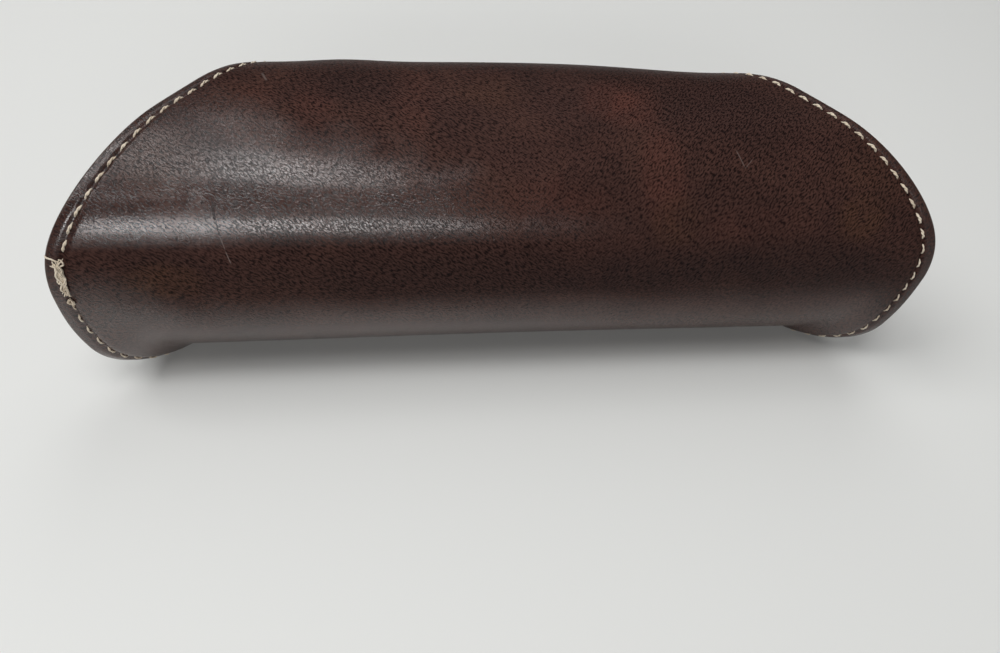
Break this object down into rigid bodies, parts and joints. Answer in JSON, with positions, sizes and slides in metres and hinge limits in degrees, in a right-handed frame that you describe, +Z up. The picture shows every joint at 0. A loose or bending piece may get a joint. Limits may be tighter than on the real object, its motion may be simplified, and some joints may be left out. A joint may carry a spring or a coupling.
{
  "type": "glasses case",
  "caption": "Stiffened leather glasses case with slanted ends, contrast stitching and a wide fold-over flap held by magnets, lying on its flap.",
  "frame": {"origin": "on the table, under the middle of the case", "axes": "+X along the case from tip to tip, +Y from the mouth to the closed far side, +Z up as the case lies in the picture, on its flap"},
  "size_m": [0.17, 0.0556, 0.0533],
  "materials": {
    "leather": "glazed dark brown, marbled, fine grain",
    "board": "grey-brown fibreboard",
    "lining": "short-napped suedette",
    "thread": "waxed cream thread",
    "steel": "plated disc"
  },
  "bodies": {
    "body": {"cover_leather": "leather", "left_end_leather": "leather", "right_end_leather": "leather", "cover_board": "board", "left_end_board": "board", "right_end_board": "board", "cover_lining": "lining", "left_end_lining": "lining", "right_end_lining": "lining", "left_body_seam": "thread", "right_body_seam": "thread", "lip_seam": "thread", "catch_discs": "steel"},
    "flap": {"flap_leather": "leather", "flap_board": "board", "flap_lining": "lining", "left_flap_seam": "thread", "right_flap_seam": "thread", "flap_magnets": "steel"}
  },
  "joints": [
    {"name": "flap_fold", "type": "hinge", "parent": "body", "child": "flap", "pos_m": [0, -0.02474, 0.03715], "axis": [-1, 0, 0], "range_deg": [0, 120]}
  ]
}
